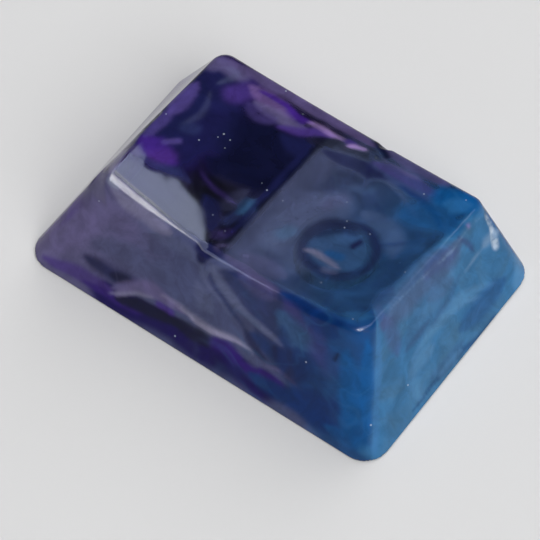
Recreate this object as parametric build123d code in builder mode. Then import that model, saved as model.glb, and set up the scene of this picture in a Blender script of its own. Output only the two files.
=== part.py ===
"""Cast resin keycap, one and a half key units long, in one piece.

The frame: X runs along the length, Y from the typist's side to the back and Z up.
The origin is the middle of the base, and the rim stands on Z = 0. Millimetres.
"""

import os

from build123d import *

# Outer form, to the sharp corners that the rounded edges start from
base_length = 27.8
base_depth = 18.3
base_corner = 1.7
top_length = 20.7
top_depth = 13.1
top_corner = 1.0
top_setback = 1.9
front_height = 7.3
back_height = 5.7

# Finger dish, measured down from the top's corners
front_dish = 1.05
back_dish = 0.3

# Rounded outer edges
top_edge = 0.45
rim_edge = 0.12

# Walls of the hollow underside
rim_wall = 1.7
ceiling_wall = 2.0
roof = 1.4
hollow_corner = 1.2
ceiling_edge = 0.5

# Rib that parts the stem chamber from the end pocket
rib_thickness = 1.2
rib_recess = 1.0
rib_edge = 0.3

# Stem post and its cross socket
stem_offset = 4.76
stem_to_rib = 5.8
post_diameter = 5.5
post_recess = 0.5
post_root = 0.12
cross_length = 4.1
cross_slot_x = 1.3
cross_slot_y = 1.15
cross_depth = 3.8
cross_lead_in = 0.2

# How far a raw form runs past the surface that trims it
overrun = 1.25
margin = 2.0

# The top's edges in plan, and the height halfway between them
top_front = top_setback - top_depth / 2
top_back = top_setback + top_depth / 2
middle_height = (front_height + back_height) / 2


def front_wall_y(height):
    """Y of the outer front wall at a height."""
    return -base_depth / 2 + (top_front + base_depth / 2) * height / front_height


def back_wall_y(height):
    """Y of the outer back wall at a height."""
    return base_depth / 2 + (top_back - base_depth / 2) * height / back_height


def end_wall_x(height):
    """Distance of the outer end walls from the middle at a height."""
    return base_length / 2 + (top_length - base_length) / 2 * height / middle_height


def along_top(front, back, y):
    """Value at y on the straight line from the top's front edge to its back edge."""
    return front + (back - front) * (y - top_front) / top_depth


def ceiling_height(y):
    """Height of the flat ceiling, one roof below the deepest line of the dish."""
    front = front_height - front_dish - roof
    back = back_height - back_dish - roof
    return along_top(front, back, y)


def slanted_outline(front, back, length, corner):
    """Rounded rectangle on the slant between a front and a back edge, each given as (y, z)."""
    run = back[0] - front[0]
    rise = back[1] - front[1]
    middle = (0, (front[0] + back[0]) / 2, (front[1] + back[1]) / 2)
    with BuildSketch(Plane(origin=middle, x_dir=(1, 0, 0), z_dir=(0, -rise, run))) as outline:
        RectangleRounded(length, (run**2 + rise**2) ** 0.5, corner)
    return outline.sketch


def dish_section(y):
    """Space above the finger dish at one depth: a shallow arc closed by a flat lid."""
    half = top_length / 2 + margin
    sag = along_top(front_dish, back_dish, y)
    bottom = along_top(front_height, back_height, y) - sag
    edge = bottom + sag * (half / (top_length / 2)) ** 2
    lid = overrun * max(front_height, back_height) + margin
    with BuildSketch(Plane.XZ.offset(-y)) as section:
        with BuildLine():
            ThreePointArc((-half, edge), (0, bottom), (half, edge))
            Polyline((half, edge), (half, lid), (-half, lid), (-half, edge))
        make_face()
    return section.sketch


with BuildPart() as keycap:
    # Raw block: the four walls lean in and run past the top
    with BuildSketch(Plane.XY) as base:
        RectangleRounded(base_length, base_depth, base_corner)
    raw_top = slanted_outline(
        front=(front_wall_y(overrun * front_height), overrun * front_height),
        back=(back_wall_y(overrun * back_height), overrun * back_height),
        length=base_length + (top_length - base_length) * overrun,
        corner=base_corner + (top_corner - base_corner) * overrun,
    )
    loft([base.sketch, raw_top], ruled=True)

    # Finger dish: a scoop that is deepest at the front edge
    scoop = [dish_section(top_front - margin), dish_section(top_back + margin)]
    loft(scoop, ruled=True, mode=Mode.SUBTRACT)

    # Outer edges: a soft line round the dish and a finer one round the rim
    dish = keycap.faces().sort_by(Axis.Z)[-1]
    fillet(dish.edges(), top_edge)
    rim = keycap.faces().sort_by(Axis.Z)[0]
    fillet(rim.edges(), rim_edge)

    # Hollow underside: drafted walls up to a flat ceiling that slopes with the top
    with BuildSketch(Plane.XY) as mouth:
        RectangleRounded(base_length - 2 * rim_wall, base_depth - 2 * rim_wall, hollow_corner)
    ceiling_front = front_wall_y(ceiling_height(top_front)) + ceiling_wall
    ceiling_back = back_wall_y(ceiling_height(top_back)) - ceiling_wall
    ceiling = slanted_outline(
        front=(ceiling_front, ceiling_height(ceiling_front)),
        back=(ceiling_back, ceiling_height(ceiling_back)),
        length=2 * (end_wall_x(ceiling_height(0)) - ceiling_wall),
        corner=hollow_corner,
    )
    loft([mouth.sketch, ceiling], ruled=True, mode=Mode.SUBTRACT)
    ceiling_face = keycap.faces().sort_by_distance((0, 0, ceiling_height(0)))[0]
    fillet(ceiling_face.edges(), ceiling_edge)

    # Rib between the stem chamber and the end pocket, short of the rim and rounded below
    rib_right = stem_offset - stem_to_rib
    with BuildSketch(Plane.YZ.offset(rib_right)) as rib:
        with BuildLine():
            Polyline(
                (front_wall_y(rib_recess) + rim_wall / 2, rib_recess),
                (top_front, ceiling_height(top_front) + roof / 2),
                (top_back - ceiling_wall / 2, ceiling_height(top_back) + roof / 2),
                (back_wall_y(rib_recess) - rim_wall / 2, rib_recess),
                close=True,
            )
        make_face()
    extrude(rib.sketch, amount=-rib_thickness)
    rib_lip = keycap.faces().sort_by_distance((rib_right - rib_thickness / 2, 0, rib_recess))[0]
    fillet(rib_lip.edges().filter_by(Axis.Y), rib_edge)

    # Stem post, rooted in the ceiling with a small fillet
    with BuildSketch(Plane.XY.offset(post_recess)) as post:
        with Locations((stem_offset, 0)):
            Circle(post_diameter / 2)
    extrude(post.sketch, until=Until.NEXT)
    fillet(keycap.edges(Select.LAST).sort_by(Axis.Z)[-1], post_root)

    # Cross socket, with a lead-in at its mouth and round the post's end
    with BuildSketch(Plane.XY.offset(post_recess)) as cross:
        with Locations((stem_offset, 0)):
            Rectangle(cross_length, cross_slot_y)
            Rectangle(cross_slot_x, cross_length)
    extrude(cross.sketch, amount=cross_depth, mode=Mode.SUBTRACT)
    post_end = keycap.faces().filter_by(Axis.Z).sort_by_distance((stem_offset, 0, post_recess))[0]
    chamfer(post_end.edges(), cross_lead_in)

os.makedirs("parts", exist_ok=True)
keycap.part.label = "keycap"
export_step(keycap.part, "parts/keycap.step")
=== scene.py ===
"""Looks and stage of a cast resin keycap, marbled from violet to blue."""

import math
from collections import namedtuple

import bmesh
import bpy
import numpy as np
from mathutils import Matrix, Vector, noise
from mathutils.bvhtree import BVHTree


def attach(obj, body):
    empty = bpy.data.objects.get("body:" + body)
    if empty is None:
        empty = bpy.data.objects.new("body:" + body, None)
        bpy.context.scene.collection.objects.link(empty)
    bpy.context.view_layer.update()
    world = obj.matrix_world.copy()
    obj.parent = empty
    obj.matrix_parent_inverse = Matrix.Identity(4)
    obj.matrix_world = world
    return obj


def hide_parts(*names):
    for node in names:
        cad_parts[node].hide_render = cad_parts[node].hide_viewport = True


bl_info = {
    "name": "Marbled resin keycap",
    "version": (1, 0, 0),
    "blender": (4, 5, 0),
    "location": "View3D > Sidebar > Keycap",
    "description": "Casts the keycap in marbled resin and sets up its stage",
    "category": "Object",
}

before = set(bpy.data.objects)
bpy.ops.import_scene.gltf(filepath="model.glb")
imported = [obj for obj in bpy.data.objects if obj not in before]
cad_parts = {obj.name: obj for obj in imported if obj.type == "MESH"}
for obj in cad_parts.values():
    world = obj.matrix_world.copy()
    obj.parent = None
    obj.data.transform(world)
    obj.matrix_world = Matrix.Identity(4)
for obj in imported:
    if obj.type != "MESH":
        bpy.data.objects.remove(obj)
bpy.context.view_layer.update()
MM = 0.001

# The cap's form in millimetres, to the sharp corners that its rounded edges start from
HALF_LENGTH = 13.9
HALF_DEPTH = 9.15
FRONT_HEIGHT = 7.3
TOP_FRONT = -4.65
TOP_DEPTH = 13.1
TOP_HALF_LENGTH = 10.35
FRONT_DISH = 1.05
STEM_X = 4.76

# How far the walls lean in for each millimetre of height
FRONT_LEAN = 0.616
BACK_LEAN = 0.123
END_LEAN = 0.546

# How much lower the top is, and how much shallower its dish, at the back than at the front
TOP_FALL = 1.6
DISH_FALL = 0.75

# Directions that the front wall and the left end face
FRONT_FACING = np.array((0.0, -0.852, 0.525))
LEFT_FACING = np.array((-0.878, 0.0, 0.479))

# Pigment laid in the resin, with some painted highlights, painted reflections and painted shade among the
# strokes,
# in millimetres: half width, softness (one number, or the left and the right of the course), the course
# itself, whether its ends run thin and how far it closes the clear resin
Stroke = namedtuple("Stroke", "name pigment strength width soft course thin closed", defaults=(1, 0.9))
STROKES = (
    ("foot_lilac", "lilac", 0.8, 0.27, 1.47,
     ((-13.3, -8.4, 0.3), (-11.7, -7.7, 2.3), (-10.1, -6.6, 4.2)), 0),
    ("wall_lilac", "lilac", 0.45, 0.27, 1.33, ((-10.7, -6, 4.9), (-9.2, -5.9, 5.3), (-7.3, -5.9, 5.3)), 0),
    ("fold_glow", "mist", 0.55, 0.27, 0.67, ((-1.4, -6.4, 4.5), (-0.7, -6.8, 3.9), (0, -7.1, 3.4))),
    ("veil_glow", "mist", 0.35, 0.2, (0.8, 0.67),
     ((-6.6, -5.5, 5.9), (-5, -5.4, 6.1), (-3.3, -5.4, 6), (-2, -5.7, 5.6))),
    # Painted highlight: pale glow on the front wall just under the worn edge's highlight.
    ("edge_glow", "milk", 0.55, 0.2, (0.6, 0.67),
     ((-9.1, -5, 6.8), (-7.9, -5.1, 6.6), (-6.8, -5.1, 6.5), (-5.6, -5.2, 6.4), (-4.4, -5.2, 6.4))),
    ("veil_fold", "haze", 0.5, 0.27, 0.93,
     ((-9.1, -7.2, 3.2), (-7, -6.9, 3.6), (-5, -6.8, 3.9), (-2.9, -6.8, 3.9))),
    ("foot_dark", "band", 0.97, 0.67, (0.33, 0.8),
     ((-7.5, -8.6, 0.8), (-5.8, -8.6, 0.9), (-3.9, -8.4, 1.1), (-1.7, -8.4, 1.2), (0.5, -8.4, 1.2),
      (2.9, -8.4, 1.3), (5.1, -8.4, 1.2)), 0),
    ("foot_dark_end", "band", 0.9, 0.27, (0.4, 0.67),
     ((3.9, -8.3, 1.4), (5.9, -8.3, 1.4), (7.8, -8.3, 1.4))),
    ("rim_violet", "violet", 0.8, 0.27, (0.53, 0.4),
     ((-12.4, -8.7, 0.6), (-10.8, -8.6, 0.8), (-9.2, -8.5, 1), (-7.7, -8.5, 1), (-6.8, -8.5, 1))),
    ("rim_plum", "plum", 0.8, 0.13, (0.33, 0.4),
     ((-9.1, -8.7, 0.8), (-7.5, -8.6, 0.8), (-5.9, -8.6, 0.8), (-4.5, -8.6, 0.9))),
    ("dark_fold", "navy", 0.9, 0.13, (0.93, 0.87),
     ((-9.5, -7.8, 2.2), (-8.2, -7.8, 2.1), (-7, -7.9, 2.1), (-6, -7.7, 2.3), (-5.2, -7.6, 2.5))),
    ("dark_fold_b", "ink", 0.8, 0.1, 0.6,
     ((-7.48, -7.89, 2.05), (-6.56, -7.81, 2.18), (-5.67, -7.69, 2.37))),
    ("foot_dark_b", "ink", 0.9, 0.33, 0.4,
     ((-6.5, -8.6, 0.9), (-5.2, -8.4, 1.2), (-4, -8.3, 1.4), (-2.8, -8.2, 1.5), (-1.5, -8.1, 1.6))),
    ("foot_dark_c", "ink", 0.85, 0.33, 0.4,
     ((-2.3, -8.2, 1.6), (-1.1, -8.1, 1.7), (0.2, -8.1, 1.7), (1, -8.2, 1.6))),
    ("deep_violet_a", "purple", 0.8, 0.13, 0.27, ((-3.5, -7.9, 2.1), (-3, -7.9, 2.1), (-2.5, -7.9, 2)), 0),
    ("deep_violet_b", "plum", 0.9, 0.2, 0.53, ((1.1, -8, 1.8), (2, -8, 1.9), (2.7, -8.1, 1.7)), 0),
    ("deep_violet_c", "plum", 0.95, 0.33, 0.4, ((3.1, -8.2, 1.5), (4.8, -8.2, 1.5), (6.5, -8.2, 1.6))),
    ("haze_purple", "lilac", 0.7, 0.13, (0.53, 0.33),
     ((-7, -8.3, 1.3), (-6, -7.9, 2), (-4.8, -7.5, 2.7), (-3.9, -7.4, 2.8))),
    ("crest_lilac", "lilac", 0.85, 0.23, (0.4, 0.33),
     ((-6.6, -8.5, 1.1), (-5.9, -8, 1.8), (-5, -7.7, 2.4), (-4, -7.6, 2.6), (-2.9, -7.6, 2.5),
      (-1.7, -7.6, 2.5))),
    ("wisp_a", "milk", 0.55, 0.04, (0.27, 0.17),
     ((-7.19, -8.62, 0.85), (-6.25, -8.31, 1.37), (-5.16, -7.98, 1.9), (-4.02, -7.75, 2.28))),
    ("wisp_b", "milk", 0.75, 0.05, (0.53, 0.17),
     ((-3.51, -7.54, 2.61), (-2.24, -7.55, 2.6), (-0.92, -7.62, 2.48), (0.35, -7.75, 2.27),
      (1.33, -7.68, 2.39), (2.48, -7.51, 2.65), (3.26, -7.51, 2.66))),
    ("wisp_b_bright", "milk", 0.95, 0.04, (0.23, 0.17),
     ((-1.6, -7.55, 2.6), (-0.57, -7.67, 2.4), (0.57, -7.72, 2.32), (1.61, -7.63, 2.47),
      (2.63, -7.51, 2.67))),
    ("wisp_tip", "milk", 0.65, 0.03, 0.17,
     ((2.33, -7.52, 2.64), (3.08, -7.48, 2.7), (3.6, -7.56, 2.58), (3.76, -7.8, 2.19))),
    ("wisp_tuft", "lilac", 0.6, 0.07, (0.27, 0.2),
     ((-4.31, -7.55, 2.6), (-3.62, -7.62, 2.48), (-2.72, -7.54, 2.62), (-1.93, -7.53, 2.63))),
    ("wisp_grey", "haze", 0.6, 0.2, 0.47, ((2.6, -7.7, 2.3), (3.6, -7.8, 2.2), (4.3, -8, 1.9))),
    ("under_line", "lilac", 0.55, 0.03, 0.2,
     ((4, -7.93, 1.99), (4.99, -7.77, 2.24), (6.01, -7.68, 2.39), (7, -7.77, 2.24), (7.73, -7.94, 1.97))),
    ("loop_body", "haze", 0.8, 0.53, 0.67,
     ((-0.8, -5.6, 5.8), (0.4, -6.1, 5), (2, -6.5, 4.3), (3.2, -7, 3.5))),
    ("loop_inner_dark", "slate", 0.7, 0.13, 0.4,
     ((0.3, -5.5, 5.9), (1.6, -6, 5.1), (3.1, -6.3, 4.6), (4.6, -6.7, 3.9)), 1, 0.8),
    ("loop_left_dark", "slate", 0.8, 0.09, (0.27, 0.33),
     ((-1.02, -5.74, 5.53), (-0.09, -6.09, 4.96), (1.08, -6.45, 4.38), (2.25, -6.81, 3.8),
      (3.34, -7.16, 3.24)), 1, 0.8),
    ("loop_left_pale", "mist", 0.75, 0.05, 0.23,
     ((3.34, -7.4, 2.84), (2.3, -7, 3.49), (1.13, -6.64, 4.07), (0, -6.35, 4.54), (-0.96, -6.08, 4.97),
      (-1.5, -5.85, 5.35), (-1.5, -5.61, 5.75), (-1.11, -5.36, 6.13), (-0.39, -5.05, 6.27),
      (0.53, -5.04, 6.27))),
    ("loop_arc", "mist", 0.7, 0.1, 0.27,
     ((-0.94, -6, 5.12), (-0.98, -5.69, 5.62), (-0.52, -5.42, 6.05), (0.17, -5.18, 6.24),
      (0.87, -5.07, 6.27))),
    ("loop_right_pale", "mist", 1, 0.09, (0.3, 0.27),
     ((-0.74, -5.57, 5.81), (0.09, -5.88, 5.31), (1.17, -6.1, 4.95), (2.51, -6.36, 4.52),
      (3.78, -6.53, 4.26), (4.94, -6.64, 4.07), (5.61, -6.83, 3.76))),
    ("loop_right_wide", "mist", 0.8, 0.17, (0.4, 0.33),
     ((-0.8, -5.6, 5.8), (0.1, -5.9, 5.3), (1.2, -6.1, 4.9), (2.7, -6.4, 4.5))),
    ("loop_right_dark", "deep", 0.7, 0.2, 0.47,
     ((3, -6.9, 3.6), (4, -7, 3.5), (5.1, -7.2, 3.2), (6, -7.4, 2.9)), 1, 0.8),
    ("loop_gap_dark", "navy", 0.8, 0.17, 0.33,
     ((2.4, -6.9, 3.7), (3.1, -7.1, 3.3), (3.9, -7.4, 2.9), (4.7, -7.6, 2.5)), 1, 0.8),
    ("front_slate", "slate", 0.6, 0.67, 1.07,
     ((2.2, -5, 6.3), (4.1, -5.5, 5.9), (5.8, -5.8, 5.5), (6.9, -6, 5.1)), 1, 0.7),
    ("front_mauve", "lilac", 0.3, 0.33, 0.6,
     ((1.1, -5.1, 6.3), (2, -5.2, 6.3), (3, -5.2, 6.3), (3.8, -5.3, 6.2)), 1, 0.8),
    ("front_purple", "violet", 0.3, 0.4, 0.8,
     ((4.7, -5.3, 6.3), (6.5, -5.4, 6.1), (7.7, -5.6, 5.8)), 1, 0.7),
    ("mid_blue", "teal", 0.5, 0.47, 0.8,
     ((4.4, -5.8, 5.5), (5.5, -6, 5.2), (6.6, -6.2, 4.8), (7.4, -6.3, 4.7))),
    ("front_deep", "deep", 0.7, 0.33, 0.6, ((6.1, -5.2, 6.4), (7.3, -5.2, 6.3), (8.6, -5.2, 6.4))),
    ("front_haze_b", "violet", 0.4, 0.4, 0.8, ((7.8, -6.2, 4.8), (8.9, -6.4, 4.4)), 0, 0.7),
    ("edge_violet", "lilac", 0.6, 0.2, (0.33, 0.4),
     ((-0.7, -4.6, 6.3), (0.7, -4.6, 6.3), (2.2, -4.7, 6.3), (3.8, -4.9, 6.4)), 1, 0.8),
    ("edge_dark", "navy", 1, 0.27, 0.27, ((-2.1, -5, 6.3), (-1.6, -5.2, 6.3), (-1.7, -5.5, 6)), 0),
    ("edge_dark_b", "navy", 0.95, 0.17, 0.27, ((-2.2, -4.7, 6.3), (-1.2, -4.8, 6.3), (-0.5, -4.7, 6.3))),
    ("edge_navy", "deep", 0.95, 0.2, (0.33, 0.53),
     ((4.1, -4.8, 6.4), (5.7, -4.7, 6.6), (7.3, -4.8, 6.8), (8.7, -4.7, 7), (10.1, -4.3, 7.1)), 1, 0.8),
    ("edge_loop", "lilac", 0.6, 0.03, 0.17,
     ((-0.28, -3.74, 6.2), (-1.07, -4.14, 6.23), (-1.43, -4.51, 6.27), (-0.95, -4.72, 6.26)), 1, 0.8),
    ("front_navy", "navy", 0.8, 0.53, 0.8, ((5.2, -7, 3.6), (6.3, -7.2, 3.1), (7.3, -7.7, 2.4)), 1, 0.8),
    ("front_dark_blue", "deep", 0.75, 0.6, (0.93, 0.8),
     ((6.4, -6.7, 4.1), (7.7, -7.2, 3.1), (8.8, -7.7, 2.4)), 1, 0.8),
    ("foot_blue", "deep", 1, 0.73, (1.2, 0.93),
     ((6.8, -8.2, 1.6), (8.6, -8.1, 1.6), (10.3, -8.1, 1.6), (11.8, -8.3, 1.3)), 1, 0.8),
    ("foot_navy", "deep", 0.95, 0.33, (0.6, 0.67),
     ((4, -8.3, 1.3), (6, -8.4, 1.2), (8.2, -8.4, 1.2), (10.2, -8.5, 1.1), (11.8, -8.5, 1.1))),
    ("front_blue", "blue", 0.6, 0.53, 0.93,
     ((8.5, -5.7, 5.6), (9.6, -6.4, 4.5), (10.4, -7.1, 3.3)), 1, 0.8),
    ("front_bright", "bright", 0.75, 0.47, 0.8,
     ((9.6, -5.7, 5.6), (10.3, -6.3, 4.6), (10.9, -6.9, 3.6), (11.2, -7.7, 2.3), (11.3, -8.4, 1.2))),
    ("front_bright_b", "bright", 0.7, 0.27, 0.53,
     ((10.5, -7.1, 3.3), (11.5, -7.8, 2.2), (12.3, -8.4, 1)), 0),
    ("front_top_blue", "blue", 0.65, 0.27, 0.53, ((8.6, -5, 6.8), (9.6, -4.9, 6.9), (10.4, -4.5, 6.8))),
    ("corner_pale", "sky", 0.75, 0.2, 0.4, ((12.7, -8.5, 0.8), (13.3, -8.2, 0.5)), 0),
    ("front_spot", "ink", 0.9, 0.07, 0.17, ((9.03, -5.89, 5.3), (8.98, -6.14, 4.87)), 0, 1),
    ("end_edge_pale", "drift_pale", 0.75, 0.2, (0.13, 0.8),
     ((10.6, -3.7, 6.7), (11.3, -4.7, 5.2), (12.1, -6, 3.5), (12.9, -7.2, 1.8), (13.3, -8, 0.6))),
    ("end_lavender", "lavender", 0.8, 0.6, (0.8, 1.07),
     ((10.6, -3.1, 6.6), (10.6, -1, 6.3), (10.6, 1.2, 6.1), (10.7, 3.3, 5.7), (10.7, 4.9, 5.6))),
    ("end_mauve", "mauve", 0.55, 0.27, 0.8, ((10.5, -2.7, 6.8), (11.1, -2.8, 5.6), (11.7, -3.2, 4.4))),
    ("end_mauve_b", "mauve", 0.6, 0.27, 0.53, ((10.5, 1.3, 6.2), (10.6, 3, 5.9), (10.7, 4.4, 5.5))),
    ("end_teal", "teal", 0.6, 0.53, 0.93, ((11.7, -2.1, 4.3), (11.6, -0.2, 4.3), (11.5, 1.7, 4.3))),
    ("end_pale_e", "cyan", 0.2, 0.2, 0.67,
     ((11.6, -1.2, 4.5), (11.5, 0.4, 4.4), (11.4, 2, 4.5), (11.2, 3.4, 4.7))),
    ("end_dark_a", "slate", 0.35, 0.08, 0.33,
     ((12.14, -0.31, 3.29), (11.96, 1.26, 3.54), (11.74, 2.67, 3.84), (11.48, 3.92, 4.22))),
    ("end_up_grey", "lavender", 0.45, 0.27, 0.6, ((11.3, 0.7, 4.8), (11.4, 1.9, 4.6), (11.4, 3.2, 4.4))),
    ("end_dark_b", "slate", 0.35, 0.08, 0.33,
     ((11.87, -2.75, 3.96), (11.87, -1.46, 3.87), (11.88, 0.06, 3.76))),
    ("end_dark_c", "slate", 0.7, 0.1, 0.2, ((10.45, 5.16, 5.9), (10.89, 5.43, 5.13), (11.32, 5.49, 4.39))),
    ("end_pale_a", "cyan", 0.65, 0.07, (0.47, 0.4),
     ((12.31, -2.52, 3.07), (12.21, -1.07, 3.19), (12.2, 0.48, 3.13), (12.12, 2.35, 3.18),
      (12.45, 4.34, 2.51), (12.9, 5.73, 1.7))),
    ("end_pale_b", "cyan", 0.7, 0.07, 0.33,
     ((12.08, 0.86, 3.34), (12.3, 2.09, 2.86), (12.48, 3.39, 2.49), (12.83, 4.48, 1.84))),
    ("end_pale_c", "cyan", 0.7, 0.2, 0.6, ((12.7, -3.2, 2.4), (12.6, -2.1, 2.5), (12.6, -0.6, 2.4))),
    ("end_pale_d", "cyan", 0.5, 0.2, 0.6, ((13, -3.3, 1.8), (13.4, -3.2, 1)), 0),
    ("end_blue", "blue", 0.6, 0.4, 0.8, ((13.1, 1.9, 1.5), (13.1, 4.3, 1.4), (13.1, 6.5, 1.3))),
    ("end_scratch", "frost", 0.55, 0.03, 0.13,
     ((11.71, 3.26, 3.86), (11.62, 4.4, 3.95), (11.52, 5.43, 4.05), (11.56, 6.49, 3.9),
      (11.63, 7.51, 3.71))),
    ("end_foot_teal", "teal", 0.75, 0.2, (0.47, 0.33),
     ((13.4, -1.9, 0.9), (13.5, -0.2, 0.8), (13.5, 1.5, 0.7))),
    ("end_foot_dark", "deep", 0.6, 0.08, (0.27, 0.2),
     ((13.61, -4.15, 0.56), (13.65, -1.58, 0.47), (13.73, 0.74, 0.31), (13.81, 2.87, 0.16),
      (13.78, 4.72, 0.21))),
    ("end_bottom_pale", "cyan", 0.5, 0.13, 0.33, ((13.6, -1.3, 0.5), (13.6, -0.3, 0.5), (13.7, 1, 0.4))),
    ("end_sky_far", "cyan", 0.6, 0.27, (0.67, 0.53), ((13, 8.3, 1), (13.7, 7.6, 0.4)), 0),
    ("end_top_sky", "sky", 0.6, 0.27, 0.67, ((10.7, 7.1, 5.3), (11.2, 7.2, 4.4)), 0),
    # Painted highlight: pale frost line along the top edge of the right end.
    ("end_edge_line", "frost", 0.42, 0.03, 0.13,
     ((10.16, -3.51, 7.09), (10.38, -1.05, 6.7), (10.52, 1.34, 6.25), (10.63, 3.58, 5.77),
      (10.63, 5.36, 5.58), (10.58, 7.87, 5.24))),
    ("end_spot", "pink", 0.6, 0.05, 0.13, ((10.49, 6.33, 5.72), (10.6, 6.29, 5.53)), 0, 1),
    ("left_indigo", "navy", 0.95, 1.07, (1.47, 2),
     ((-9.9, 0, 6.7), (-9.8, 2.6, 6.3), (-9.6, 5.3, 6), (-8.5, 6.2, 5.8)), 0),
    ("left_indigo_b", "navy", 0.8, 0.8, 1.47, ((-7.7, 0, 6.4), (-7.3, 2.2, 6.1), (-7, 4.1, 5.9)), 0),
    ("pool_dark", "ink", 0.95, 1.47, 1.33, ((-4.3, 2.9, 5.9), (-2.9, 4.1, 5.7), (-2.6, 2.4, 5.8)), 0),
    ("pool_dark_b", "ink", 0.9, 0.53, 0.8, ((-5.7, 0.7, 6.1), (-3.9, 0.9, 6), (-2.1, 1.5, 5.9))),
    ("pool_dark_c", "ink", 0.7, 0.53, 0.8, ((-6.5, 4.5, 5.9), (-5.3, 4.5, 5.8), (-4.4, 4.6, 5.8))),
    ("pool_navy", "navy", 0.8, 0.4, 0.8, ((-3.1, 5, 5.7), (-1.7, 5.2, 5.6), (-1.2, 5.6, 5.6))),
    ("pool_plum", "navy", 0.4, 0.67, 0.93, ((-6.5, 1.9, 6.1), (-6.2, 3.1, 6)), 0),
    ("corner_grey", "lilac", 0.7, 0.27, (0.53, 0.67),
     ((-10.2, 7, 5.9), (-9.6, 7.5, 5.8), (-8.2, 7.5, 5.7)), 0),
    ("corner_wisp", "mist", 0.3, 0.08, 0.33,
     ((-8.8, 5.97, 5.88), (-8.55, 6.71, 5.78), (-8.5, 7.39, 5.71), (-9.19, 7.35, 5.76))),
    # Partly painted light: the resin's grey violet along the back edge, painted brighter because that edge
    # faces away from the lamps.
    ("back_rim", "rim", 1, 0.33, (0.4, 0.53),
     ((-9.3, 7.9, 5.7), (-7, 8.1, 5.6), (-4.8, 8.2, 5.5), (-2.2, 8.1, 5.4), (0.2, 8.1, 5.4), (2, 8, 5.4))),
    ("back_rim_b", "rim", 0.8, 0.33, (0.4, 0.53),
     ((2.7, 8.1, 5.4), (4.2, 8.2, 5.5), (6, 8.2, 5.5), (7.7, 8.2, 5.6))),
    ("violet_patch", "violet", 0.8, 0.4, (0.73, 0.8), ((-7.5, 6, 5.8), (-7.1, 6.7, 5.7)), 0),
    ("lavender_patch", "rosy", 0.85, 0.4, (0.47, 0.6),
     ((-7.2, 7.1, 5.7), (-6.2, 7, 5.6), (-4.8, 6.9, 5.6), (-3.5, 6.8, 5.6))),
    ("lavender_low", "lilac", 0.75, 0.27, 0.47,
     ((-6.2, 6.2, 5.7), (-4.8, 6.2, 5.6), (-3.4, 6.2, 5.6), (-2.4, 6.5, 5.6))),
    ("panel_low", "panel", 0.5, 0.27, 0.53, ((-6.4, 5.8, 5.8), (-5.4, 5.6, 5.7), (-4.2, 5.6, 5.7))),
    ("purple_line", "purple", 1, 0.12, 0.2,
     ((-6.7, 7.3, 5.6), (-5.5, 7.3, 5.6), (-4.3, 7.2, 5.5), (-3.2, 7, 5.5), (-2.1, 7.1, 5.5))),
    ("purple_pool", "purple", 0.75, 0.17, 0.33, ((-4, 7, 5.6), (-2.9, 6.9, 5.5)), 0),
    ("purple_low", "violet", 0.9, 0.2, (0.33, 0.4),
     ((-3.9, 5.4, 5.7), (-2.7, 6, 5.6), (-1.6, 6.7, 5.5), (-0.5, 7, 5.5))),
    ("pink_a", "pink", 0.65, 0.09, 0.23,
     ((-2.52, 7, 5.53), (-1.63, 7.08, 5.5), (-0.68, 7.08, 5.49), (0.37, 7.16, 5.49))),
    ("purple_spot", "purple", 0.8, 0.12, 0.23, ((0.4, 7.2, 5.5), (1, 7.2, 5.5)), 0),
    ("pink_b", "pink", 0.9, 0.08, 0.2, ((0.51, 6.86, 5.51), (1.19, 7.11, 5.49), (1.98, 7.33, 5.49))),
    ("left_purple", "purple", 0.8, 0.4, 0.87, ((-10, -0.7, 6.8), (-8.9, -0.7, 6.6), (-7.4, -0.9, 6.4))),
    ("left_magenta", "magenta", 0.35, 0.2, 0.73, ((-8.4, -1.4, 6.6), (-7.9, -0.7, 6.5)), 0),
    ("left_panel", "panel", 0.8, 0.4, (0.33, 0.47), ((-9.9, 1.9, 6.4), (-9.9, 3.4, 6.3), (-9.9, 5, 6.1))),
    ("left_panel_b", "panel", 0.55, 0.27, (0.4, 0.53),
     ((-10, -0.3, 6.7), (-10, 0.8, 6.6), (-9.9, 2.1, 6.4))),
    ("left_dash", "panel", 0.7, 0.1, 0.2, ((-8.75, 0.06, 6.5), (-8.07, 0.64, 6.36)), 0),
    ("dark_arc", "navy", 0.95, 0.17, 0.27,
     ((-9.8, 5.5, 6), (-9.1, 4.7, 6), (-8.8, 3.4, 6.2), (-9, 2.2, 6.3), (-9.3, 1.1, 6.5),
      (-9.5, 0.1, 6.6))),
    ("pale_arc", "mist", 0.2, 0.08, (0.33, 0.27),
     ((-8.81, 5.11, 5.98), (-8.42, 4.17, 6.05), (-8.33, 3.21, 6.14), (-8.54, 2.41, 6.23),
      (-8.83, 1.75, 6.33))),
    ("blue_patch", "slate", 0.5, 0.2, 0.47, ((-8.5, 1.7, 6.3), (-7.9, 2, 6.2)), 0),
    ("violet_thread", "violet", 0.5, 0.07, 0.3,
     ((-5.7, -0.09, 6.19), (-4.84, -0.59, 6.17), (-3.98, -0.89, 6.14), (-3.12, -0.99, 6.09),
      (-2.2, -0.96, 6.05))),
    ("glint_grey", "mist", 0.25, 0.27, 0.6, ((-2.9, -1.8, 6.1), (-2.6, -0.8, 6.1), (-2.4, 0.2, 6))),
    ("teal_glint", "teal", 0.7, 0.13, (0.87, 0.8), ((-1.9, -1.4, 6.1), (-1.6, -0.6, 6), (-1.4, -0.1, 6))),
    ("dark_right", "navy", 0.85, 0.33, 0.73, ((-4.2, -1.7, 6.2), (-3.3, -2.5, 6.2), (-2.5, -3.6, 6.2))),
    ("dark_diag", "ink", 0.6, 0.08, 0.3,
     ((-2.13, 1.92, 5.86), (-2.08, 0.79, 5.93), (-2.03, -0.54, 6.02), (-2.13, -1.68, 6.1),
      (-2.12, -2.74, 6.17))),
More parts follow.
